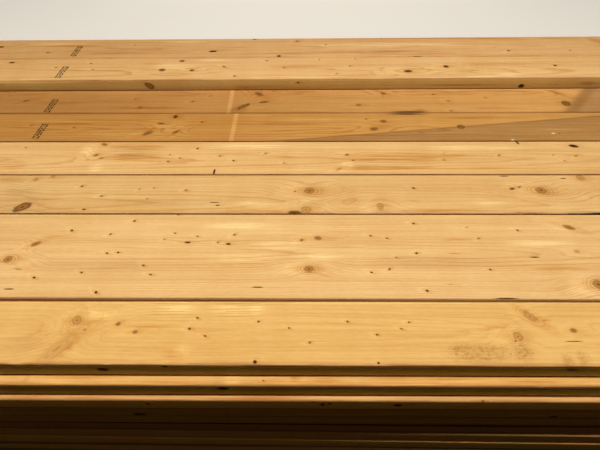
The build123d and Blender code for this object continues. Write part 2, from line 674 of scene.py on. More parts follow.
    def _loop_grain(self) -> None:
        """Draws the first few rings that close round a knot, fainter the farther they lie."""
        add = self.add
        flat = add("VectorMath", {0: self.mark_place, 1: (0.8, 1, 0)}, operation="MULTIPLY")
        away = add("VectorMath", {0: flat}, operation="LENGTH")
        count = add("Math", {0: self._noise((28, 28, 28), 1.0), 1: 1.0, 2: away}, operation="MULTIPLY_ADD")
        turn = add("Math", {0: count, 1: 12.0}, operation="MULTIPLY")
        wave = add("Math", {0: turn}, operation="SINE")
        line = add("MapRange", {0: wave, 1: 0.55, 2: 1.0}, interpolation_type="SMOOTHSTEP")
        share = self.mark_rings
        for part in (
            line,
            add("MapRange", {0: away, 1: 2.5, 2: 1.15}),
            add("MapRange", {0: away, 1: 0.7, 2: 1.0}),
        ):
            share = add("Math", {0: share, 1: part}, operation="MULTIPLY")
        self.colour = add("Mix", {0: share, 6: self.colour, 7: linear(self.loop_colour)}, data_type="RGBA")

    def _print_ink(self) -> None:
        """Prints an illegible mill mark: slanted rows of plain strokes in worn ink."""
        add = self.add
        parts = add("SeparateXYZ", {0: self.ink_place})
        rows = add("Math", {0: parts.outputs[1], 1: 1.5, 2: 9.5}, operation="MULTIPLY_ADD")
        in_row = add("Math", {0: rows}, operation="FRACT")
        row_number = add("Math", {0: rows}, operation="FLOOR")
        step = add("CombineXYZ", {0: parts.outputs[0], 1: row_number})
        spread = add("VectorMath", {0: step, 1: (11.0, 3.7, 1.0)}, operation="MULTIPLY")
        strokes = add("TexNoise", {"Vector": spread, "Scale": 1.0, "Detail": 1.0}, noise_dimensions="2D")
        across = add("Math", {0: parts.outputs[0]}, operation="ABSOLUTE")
        up = add("Math", {0: parts.outputs[1]}, operation="ABSOLUTE")
        share = add("MapRange", {0: self._noise((240, 240, 240), 1.0), 1: 0.26, 2: 0.40, 3: 0.0, 4: 0.95})
        for value, limit, test in (
            (across, 1.0, "LESS_THAN"),
            (up, 1.0, "LESS_THAN"),
            (in_row, 0.66, "LESS_THAN"),
            (strokes, 0.43, "GREATER_THAN"),
        ):
            mask = add("Math", {0: value, 1: limit}, operation=test)
            share = add("Math", {0: share, 1: mask}, operation="MULTIPLY")
        self.colour = add("Mix", {0: share, 6: self.colour, 7: linear(self.ink_colour)}, data_type="RGBA")

    def _saw_end(self) -> None:
        """Darkens a sawn end, whose open fibres drink light, and adds its drying checks."""
        add = self.add
        parts = add("SeparateXYZ", {0: self.log_place})
        angle = add("Math", {0: parts.outputs[1], 1: parts.outputs[2]}, operation="ARCTAN2")
        fans = add("TexNoise", {"W": angle, "Scale": 26.0, "Detail": 2.0}, noise_dimensions="1D")
        check = add("MapRange", {0: fans, 1: 0.30, 2: 0.26})
        reach = add("MapRange", {0: self._noise((0.1, 24, 24), 1.0), 1: 0.50, 2: 0.60})
        cut = add("Math", {0: check, 1: reach}, operation="MULTIPLY")
        dull = add("VectorMath", {0: self.colour, 1: (0.80, 0.74, 0.66)}, operation="MULTIPLY")
        self.colour = add("Mix", {0: cut, 6: dull, 7: linear(self.check_colour)}, data_type="RGBA")

    def _set_surface(self) -> None:
        """Sets the planed surface's colour, its dullness and its slight relief."""
        add, links = self.add, self.tree.links
        links.new(self.colour.outputs[2], self.shader.inputs["Base Color"])
        sheen = add("MapRange", {0: self.streak, 1: 0.3, 2: 0.7, 3: 0.56, 4: 0.70})
        links.new(sheen.outputs[0], self.shader.inputs["Roughness"])
        self.shader.inputs["Specular IOR Level"].default_value = 0.12
        relief = add("Math", {0: self.late_wood, 1: 0.6, 2: self.fibre}, operation="MULTIPLY_ADD")
        raised = add("Math", {0: self.mark_cover, 1: 0.8, 2: relief}, operation="MULTIPLY_ADD")
        bump = add("Bump", {"Strength": 0.35, "Distance": 0.3 * MM, "Height": raised})
        links.new(bump.outputs[0], self.shader.inputs["Normal"])


@dataclass(frozen=True)
class BoardLook:
    """What makes one board differ: its tone, where its pith lay, and what it shows.

    The pith is given in millimetres from the board's front edge and from its underside. A groove
    is how much painted shade darkens its eased edge towards a neighbour, in front and behind, and
    under 0 it is a painted highlight there. The contact shade is how much painted shade darkens its
    lower front edge. The figure is how strongly its rings show. The front shade paints shade on the
    round of its top front edge and the first millimetres behind it. The back shade paints shade on
    the last millimetres of its top and the round there, which otherwise gets a slight painted
    highlight. The foot shade paints shade on the foot of its open front. The front tone paints the
    light and shade that its open front gets, and the gap light paints light on a front that shows
    only down in a gap.
    """

    tone: tuple[float, float, float]
    pith_across: float
    pith_up: float
    right_tone: tuple[float, float, float] | None = None
    spots: tuple[Spot, ...] = ()
    pins: tuple[Pin, ...] = ()
    washes: tuple[Wash, ...] = ()
    specks: tuple[Specks, ...] = ()
    ripples: tuple[Ripples, ...] = ()
    ink: Placed | None = None
    stripe: Line | None = None
    water_line: Line | None = None
    wane: Wane | None = None
    wane_tone: tuple[float, float, float] = (0.50, 0.44, 0.40)
    groove: tuple[float, float] = (1.0, 1.0)
    contact_shade: float = 1.0
    figure: float = 0.7
    front_tone: tuple[float, float, float] = (1.0, 1.0, 1.0)
    front_shade: float = 0.25
    back_shade: float = 0.0
    gap_light: float = 1.0
    foot_shade: float = 0.0
    open_front: bool = False
    open_back: bool = False
    stained: bool = False


@dataclass
class BoardStock:
    """A planed board of one width, modelled once at its size and copied for every such board."""

    name: str
    length: float
    width: float
    thickness: float
    eased_edge: float
    cell: tuple[float, float]
    layers: int
    ease_steps: int = 3
    master: bpy.types.Object = field(init=False)

    def __post_init__(self) -> None:
        """Models the master: a grid drawn down into a board, layered, with its long edges eased."""
        columns = max(2, round(self.length / self.cell[0]))
        rows = max(2, round(self.width / self.cell[1]))
        bpy.ops.object.select_all(action="DESELECT")
        bpy.ops.mesh.primitive_grid_add(x_subdivisions=columns, y_subdivisions=rows, size=1.0)
        self.master = bpy.context.active_object
        self.master.name = self.name
        bpy.ops.object.mode_set(mode="EDIT")
        bpy.ops.mesh.select_all(action="SELECT")
        bpy.ops.transform.resize(value=(self.length, self.width, 1.0))
        rise = (0.0, 0.0, self.thickness)
        bpy.ops.mesh.extrude_region_move(TRANSFORM_OT_translate={"value": rise})
        for layer in range(1, self.layers):
            bpy.ops.mesh.select_all(action="SELECT")
            height = self.thickness * layer / self.layers
            bpy.ops.mesh.bisect(plane_co=(0.0, 0.0, height), plane_no=(0.0, 0.0, 1.0))
        bpy.ops.mesh.select_all(action="SELECT")
        bpy.ops.mesh.normals_make_consistent(inside=False)
        self._select_long_edges()
        bpy.ops.mesh.bevel(offset=self.eased_edge, segments=self.ease_steps, affect="EDGES")
        bpy.ops.mesh.select_all(action="SELECT")
        bpy.ops.transform.translate(value=(self.length / 2, self.width / 2, 0.0))
        bpy.ops.object.mode_set(mode="OBJECT")
        LOG.info("modelled %s, %d faces", self.name, len(self.master.data.polygons))

    def _select_long_edges(self) -> None:
        """Selects the four long edges, in edit mode."""
        bpy.ops.mesh.select_mode(type="EDGE")
        bpy.ops.mesh.select_all(action="DESELECT")
        bpy.ops.object.mode_set(mode="OBJECT")
        mesh = self.master.data
        sides = self.width / 2
        for edge in mesh.edges:
            ends = [mesh.vertices[i].co for i in edge.vertices]
            on_side = all(abs(abs(end.y) - sides) < SAME for end in ends)
            on_face = all(min(abs(end.z), abs(end.z - self.thickness)) < SAME for end in ends)
            edge.select = on_side and on_face and abs(ends[0].x - ends[1].x) > SAME
        bpy.ops.object.mode_set(mode="EDIT")

    def cut_copy(self, name: str) -> bpy.types.Object:
        """Copies the master, with a mesh of its own.

        Args:
            name: the new board's name.

        Returns:
            The copy, which lies where the master does.
        """
        board = self.master.copy()
        board.data = self.master.data.copy()
        board.name = board.data.name = name
        bpy.context.scene.collection.objects.link(board)
        return board

    def clear(self) -> None:
        """Removes the master once every board is cut from it."""
        bpy.data.objects.remove(self.master)


class MeshSheet:
    """The points, faces and corners of a board's mesh as arrays, in the board's own lengths."""

    def __init__(self, mesh: bpy.types.Mesh) -> None:
        """Reads a mesh.

        Args:
            mesh: the board's mesh.
        """
        self.mesh = mesh
        self.points = self._read(mesh.vertices, "co")
        self.centres = self._read(mesh.polygons, "center")
        self.normals = self._read(mesh.polygons, "normal")
        self.corner_points = np.empty(len(mesh.loops), dtype=np.int32)
        mesh.loops.foreach_get("vertex_index", self.corner_points)
        totals = np.empty(len(mesh.polygons), dtype=np.int32)
        mesh.polygons.foreach_get("loop_total", totals)
        self.corner_faces = np.repeat(np.arange(len(totals)), totals)

    def _read(self, items: bpy.types.bpy_prop_collection, key: str) -> np.ndarray:
        """Reads a vector from each item.

        Args:
            items: the mesh's points or faces.
            key: the vector's name.

        Returns:
            The vectors, as rows.
        """
        values = np.empty(len(items) * 3)
        items.foreach_get(key, values)
        return values.reshape(-1, 3)

    def move(self, points: np.ndarray) -> None:
        """Moves the mesh's points, and keeps the faces as they were read.

        Args:
            points: where each point goes.
        """
        self.points = points
        self.mesh.vertices.foreach_set("co", points.ravel())
        self.mesh.update()


@dataclass(frozen=True)
class LocalMark:
    """A mark or patch in a board's own lengths, in metres, with the look that its faces carry."""

    x: float
    y: float
    z: float
    along: float
    across: float
    tilt: float
    look: tuple[float, ...]
    bulge: float = 0.0
    on_front: bool = False

    def measure(self, points: np.ndarray) -> np.ndarray:
        """How far points are from the middle, in the mark's own radii.

        Args:
            points: rows of board points.

        Returns:
            Rows of the distance along, the distance across, and 0.
        """
        side = points[:, 2] - self.z if self.on_front else points[:, 1] - self.y
        run = points[:, 0] - self.x
        c, s = math.cos(self.tilt), math.sin(self.tilt)
        u = (run * c + side * s) / self.along
        v = (side * c - run * s) / self.across
        return np.stack((u, v, np.zeros(len(points))), axis=1)

    def nearness(self, points: np.ndarray, start: float, end: float, narrow: float) -> np.ndarray:
        """How near points are to the middle, from 0 at a start to 1 at an end.

        Args:
            points: rows of board points.
            start: where the nearness starts, in the mark's radii.
            end: where it is full.
            narrow: how much the distance along counts.

        Returns:
            A value for each point.
        """
        u, v = self.measure(points)[:, :2].T
        share = np.clip((start - np.hypot(u * narrow, v)) / (start - end), 0, 1)
        return share * share * (3 - 2 * share)


def share_out(sheet: MeshSheet, marks: list[LocalMark]) -> None:
    """Gives each face the mark that is nearest to it, as places and a look for its finish.

    Args:
        sheet: the board's mesh.
        marks: the marks to share out.
    """
    nearest = np.full(len(sheet.centres), FAR_AWAY)
    owner = np.full(len(sheet.centres), -1)
    facing_front = sheet.normals[:, 1] < -FRONT_FACING
    for number, mark in enumerate(marks):
        uv = mark.measure(sheet.centres)[:, :2]
        away = np.hypot(uv[:, 0] * ALONG_COUNTS, uv[:, 1])
        away[facing_front != mark.on_front] = FAR_AWAY
        closer = away < nearest
        nearest[closer] = away[closer]
        owner[closer] = number
    places = np.full((len(sheet.corner_points), 3), FAR_AWAY)
    looks = np.zeros((len(sheet.centres), 4))
    corner_owner = owner[sheet.corner_faces]
    for number, mark in enumerate(marks):
        mine = corner_owner == number
        places[mine] = mark.measure(sheet.points[sheet.corner_points[mine]])
        looks[owner == number] = mark.look
    Attribute.MARK_PLACE.write(sheet.mesh, places)
    Attribute.MARK_LOOK.write(sheet.mesh, looks)


@dataclass
class BoardDresser:
    """Gives one copied board its wane, its marks and its finish, and lays it in its place.

    The seed sets the board's own stretch of grain, and how its pin knots, specks and ripples lie.
    """

    camera: PhotoCamera
    board: bpy.types.Object
    place: BoardPlace
    look: BoardLook
    seed: int
    eased_edge: float = 3 * MM
    # The share of the light that the painted shade in a groove takes at its deepest, and of which colours.
    deepest: float = 0.88
    groove_tint: tuple[float, float, float] = (0.85, 1.00, 1.10)
    # How far the faces of a rounded edge lean, from hardly to fully, and the limit of a slight
    # lean as a share of that. Faces that lean slightly to the back get a painted highlight this strong.
    lean_range: tuple[float, float] = (0.08, 0.58)
    slight_lean: float = 0.6
    back_highlight: float = 0.3
    # A rounded edge's face is on the board's lower edge if its normal runs no further up.
    under_facing: float = -0.1
    # How wide the shaded band along the top's back edge is, and its share of the back shade.
    back_band: float = 4.5 * MM
    back_band_share: float = 0.72
    # How far back the front shade starts, how far back it is full, and how far down it goes.
    front_band: tuple[float, float, float] = (8 * MM, 3 * MM, 2.5 * MM)
    front_tint: tuple[float, float, float] = (0.80, 1.00, 1.10)
    # Where a wash, or the bulge of the rings round a knot, starts and is full, in its own radii,
    # and how much the distance along it counts.
    wash_reach: tuple[float, float, float] = (1.25, 0.25, 1.0)
    bulge_reach: tuple[float, float, float] = (4.4, 0.4, 0.42)
    log_length: float = 40.0
    face_corners: int = 4

    def __post_init__(self) -> None:
        """Reads the board's mesh."""
        self.sheet = MeshSheet(self.board.data)
        self.along, self.back, self.up = self.sheet.normals.T

    def dress(self, faces: SpruceFinish, ends: SpruceFinish) -> None:
        """Dresses the board and lays it in the frame.

        Args:
            faces: the finish of its long faces.
            ends: the finish of its sawn ends.
        """
        mesh, look = self.board.data, self.look
        on_end = np.abs(self.along) > END_FACING
        mesh.polygons.foreach_set("material_index", on_end.astype(np.int32))
        tones = self._tones()
        if look.wane:
            tones[self._cut_wane(look.wane)] *= look.wane_tone
        figure = np.full((len(tones), 1), look.figure)
        Attribute.BOARD_TONE.write(mesh, np.hstack((tones, figure)))
        spots = self._local_spots()
        share_out(self.sheet, spots)
        Attribute.LOG_PLACE.write(mesh, self._log_places(spots))
        Attribute.PATCH_TINT.write(mesh, self._tints())
        Attribute.INK_PLACE.write(mesh, self._ink_places())
        Attribute.STAIN_PLACE.write(mesh, self._stain_places())
        mesh.materials.clear()
        for finish in (faces, ends):
            mesh.materials.append(finish.material)
        mesh.transform(self.place.matrix())

    def _find(self, column: float, row: float, on_front: bool = False) -> Vector:
        """Finds where on the board the photograph shows a point.

        Args:
            column: pixels from the photograph's left edge.
            row: pixels from its top edge.
            on_front: whether the point is on the board's front and not on its top.

        Returns:
            The point, in the board's own lengths.
        """
        place = self.place
        axis, at = (1, place.corner.y) if on_front else (2, place.corner.z + place.thickness)
        return place.matrix().inverted() @ self.camera.on_plane(column, row, axis, at)

    def _local(self, item: Placed, look: tuple[float, ...] = (), bulge: float = 0.0) -> LocalMark:
        """Turns something placed in the photograph into a mark in the board's own lengths.

        Args:
            item: what to place.
            look: what its faces carry.
            bulge: how far it pushes the rings out, in metres.

        Returns:
            The mark.
        """
        at = self._find(item.column, item.row, item.on_front)
        sizes = (item.along * MM / 2, item.across * MM / 2, math.radians(item.tilt))
        return LocalMark(*at, *sizes, look, bulge, item.on_front)

    def _tones(self) -> np.ndarray:
        """Tones each face: the board's own tone from left to right, with painted shade in the grooves.

        Returns:
            Each face's red, green and blue.
        """
        centres, look, middle = self.sheet.centres, self.look, self.camera.rows / 2
        left, right = (self._find(column, middle).x for column in (0, self.camera.columns))
        share = np.clip((centres[:, 0] - left) / (right - left), 0, 1)[:, None]
        tones = np.array(look.tone) * (1 - share) + np.array(look.right_tone or look.tone) * share
        behind = self.back > 0
        flat_side = np.abs(self.back) > FLAT_FACING
        open_side = flat_side & np.where(behind, look.open_back, look.open_front)
        depth = self._groove_depths()[:, None]
        depth[open_side | (np.abs(self.along) > END_FACING)] = 0.0
        # Painted shade down in the grooves, and painted highlights where the depth is under 0.
        tones *= np.maximum(1 - depth * np.where(depth < 0, 1.0, self.groove_tint), 0)
        # Painted light on a front that shows only down in a gap.
        tones[flat_side & ~behind & ~open_side] *= look.gap_light
        # The front tone paints the light and shade that an open front gets, and painted shade darkens its
        # foot.
        foot = np.clip(1 - centres[:, 2] / self.place.thickness, 0, 1) ** 2
        front = open_side & ~behind
        tones[front] *= np.array(look.front_tone) * (1 - look.foot_shade * foot[front])[:, None]
        return tones

    def _groove_depths(self) -> np.ndarray:
        """Finds how deep in a groove each face lies, for the painted shade there.

        Returns:
            The share of the light that each face loses there to painted shade, under 0 where a painted
            highlight brightens it.
        """
        look, behind = self.look, self.back > 0
        lean = np.interp(np.abs(self.back), self.lean_range, (0, 1))
        depth = np.where(behind, look.groove[1], look.groove[0]) * self.deepest * lean
        slight = behind & (lean > 0) & (lean < self.slight_lean)
        # Under a back shade the slight back round gets painted shade; otherwise a slight painted highlight.
        depth[slight] = look.back_shade or depth[slight] * -self.back_highlight
        # A band of painted shade along the top's back edge.
        in_band = self.sheet.centres[:, 1] > self.place.width - self.back_band
        depth[in_band & (self.up > FLAT_FACING)] = look.back_shade * self.back_band_share
        # Painted contact shade on the lower front edge.
        under = ~behind & (self.up < self.under_facing)
        depth[under] = self.deepest * look.contact_shade * lean[under]
        return depth

    def _cut_wane(self, wane: Wane) -> np.ndarray:
        """Draws the front top corner in to the tapered round of the log.

        Args:
            wane: the lost corner.

        Returns:
            Which faces lie on the round.
        """
        sheet = self.sheet
        pith = np.array((wane.pith_depth * MM, self.place.thickness - wane.pith_drop * MM))
        reach = math.hypot(wane.pith_depth, wane.pith_drop) * MM
        start = reach - self.eased_edge * (math.sqrt(2) - 1)
        points = sheet.points.copy()
        off = points[:, 1:] - pith
        away = np.hypot(off[:, 0], off[:, 1])
        limit = start - wane.slope * wane.grows * (points[:, 0] - wane.start * MM)
        outside = away > limit + 2 * SAME
        points[outside, 1:] = pith + off[outside] * (limit[outside] / away[outside])[:, None]
        sheet.move(points)
        corners_out = np.bincount(sheet.corner_faces, outside[sheet.corner_points], len(sheet.centres))
        return (corners_out >= self.face_corners) & (np.abs(self.along) < END_FACING)

    def _local_spots(self) -> list[LocalMark]:
        """Places the board's small marks, pin knots, specks and ripples.

        Returns:
            The marks, in the board's own lengths.
        """
        look, draw = self.look, random.Random(self.seed)
        marks = []
        for spot in look.spots:
            bulge = spot.mark.value.halo * spot.across * MM * 0.8
            marks.append(self._local(spot, astuple(spot.mark.value), bulge))
        for pin in look.pins:
            along, across = (pin.width * draw.uniform(k, k + 0.25) for k in (0.74, 0.56))
            shown = (1.0, pin.darkness + draw.uniform(-0.12, 0.06), 0.30, draw.uniform(0.50, 0.95))
            knot = Placed(pin.column, pin.row, along, across, draw.uniform(-35, 35))
            marks.append(self._local(knot, shown))
        for specks in look.specks:
            at = self._find(specks.column, specks.row)
            for _ in range(specks.count):
                x = at.x + draw.uniform(-0.5, 0.5) * specks.along * MM
                y = at.y + draw.uniform(-0.5, 0.5) * specks.across * MM
                size = draw.uniform(0.9, 1.6) * MM
                shown = (draw.uniform(0.30, 0.65), draw.uniform(0.45, 0.70), 0.0, 0.0)
                marks.append(LocalMark(x, y, at.z, size * 1.2, size, draw.uniform(0, 3), shown))
        for ripples in look.ripples:
            at = self._find(ripples.column, ripples.row)
            for number in range(ripples.count):
                share = (number + 0.5) / ripples.count - 0.5
                x = at.x + draw.uniform(-0.12, 0.12) * ripples.along * MM
                y = at.y + share * ripples.across * MM + draw.uniform(-0.6, 0.6) * MM
                along = ripples.along * MM / 2 * draw.uniform(0.9, 1.4)
                shown = (draw.uniform(0.40, 0.66), draw.uniform(0.42, 0.55), 0.0, 0.0)
                turn = math.radians(ripples.tilt + draw.uniform(-1.5, 1.5))
                marks.append(LocalMark(x, y, at.z, along, draw.uniform(0.8, 1.1) * MM, turn, shown))
        return marks

    def _log_places(self, spots: list[LocalMark]) -> np.ndarray:
        """Each point's place in the log, where the rings bulge round the knots.

        Args:
            spots: the board's small marks.

        Returns:
            A row for each point.
        """
        points, look = self.sheet.points, self.look
        log = points - np.array((0.0, look.pith_across * MM, look.pith_up * MM))
        radius = np.hypot(log[:, 1], log[:, 2])
        bulge = sum(spot.nearness(points, *self.bulge_reach) * spot.bulge for spot in spots)
        log[:, 1:] *= (1 + bulge / radius).reshape(-1, 1)
        log[:, 0] += random.Random(self.seed).uniform(0, self.log_length)
        return log

    def _tints(self) -> np.ndarray:
        """Tints the board with its soft patches, and paints shade along its top front edge.

        Returns:
            Each point's tint and dirt.
        """
        points = self.sheet.points
        tints = np.tile((1.0, 1.0, 1.0, 0.0), (len(points), 1))
        for wash in self.look.washes:
            kind = wash.patch.value
            share = self._local(wash).nearness(points, *self.wash_reach) * kind.strength
            if wash.patch is Patch.DIRT:
                tints[:, 3] = np.maximum(tints[:, 3], share)
            else:
                tints[:, :3] *= 1 + share[:, None] * (np.array(kind.tint) - 1)
        # Painted shade on the top's first millimetres and the round of its front edge.
        start, full, down = self.front_band
        edge = np.clip((start - points[:, 1]) / (start - full), 0, 1) * self.look.front_shade
        edge[points[:, 2] < self.place.thickness - down] = 0.0
        tints[:, :3] *= 1 - edge[:, None] * self.front_tint
        return tints

    def _ink_places(self) -> np.ndarray:
        """Lays out the mill mark on the board's top, if it has one.

        Returns:
            Each corner's place in the mark.
        """
        sheet = self.sheet
        places = np.full((len(sheet.corner_points), 3), FAR_AWAY)
        if self.look.ink:
            top = (self.up > TOP_FACING)[sheet.corner_faces]
            places[top] = self._local(self.look.ink).measure(sheet.points[sheet.corner_points[top]])
        return places

    def _stain_places(self) -> np.ndarray:
        """Lays out the lath's stripe and the water line, if the board has them.

        Returns:
            Each corner's distance from the stripe and how far it lies in front of the line.
        """
        points = self.sheet.points[self.sheet.corner_points]
        places = np.tile((FAR_AWAY, -FAR_AWAY, 0.0), (len(points), 1))
        for column, line in enumerate((self.look.stripe, self.look.water_line)):
            if line:
                first = self._find(line.from_column, line.from_row)
                run = (self._find(line.to_column, line.to_row) - first).normalized()
                off = (points[:, 0] - first.x) * run.y - (points[:, 1] - first.y) * run.x
                places[:, column] = off / line.softness
        return places
